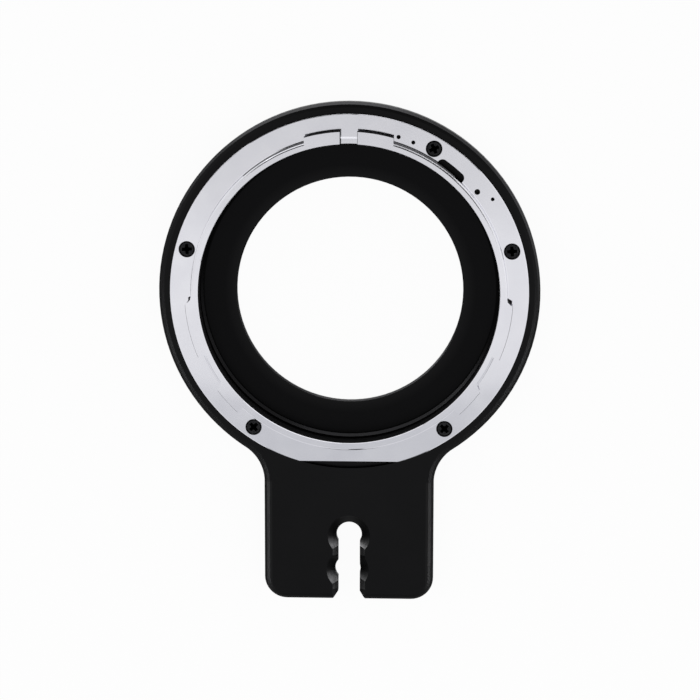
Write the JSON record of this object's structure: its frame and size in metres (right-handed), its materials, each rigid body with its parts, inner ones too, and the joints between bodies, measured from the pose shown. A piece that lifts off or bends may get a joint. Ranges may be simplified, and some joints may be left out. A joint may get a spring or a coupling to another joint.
{
  "type": "lens mount plate",
  "caption": "Black metal plate with a round lens opening, a chromed bayonet ring held by countersunk screws, and a slotted tail for clamping it to a support.",
  "frame": {"origin": "on the axis of the light opening, in the plate's rearmost face", "axes": "+Z along the optical axis towards the bayonet, -Y along the tail, +X to the right when the bayonet faces the reader and the tail hangs down"},
  "size_m": [0.0904, 0.1203, 0.01],
  "materials": {
    "black_anodised": "fine bead-blasted black anodising",
    "satin_chrome": "satin chrome plate, blackened inside the tube",
    "black_steel": "black oxide"
  },
  "bodies": {
    "root": {"mount_plate": "black_anodised", "bayonet_ring": "satin_chrome", "ring_screw_1": "black_steel", "ring_screw_2": "black_steel", "ring_screw_3": "black_steel", "ring_screw_4": "black_steel", "ring_screw_5": "black_steel"}
  },
  "joints": []
}
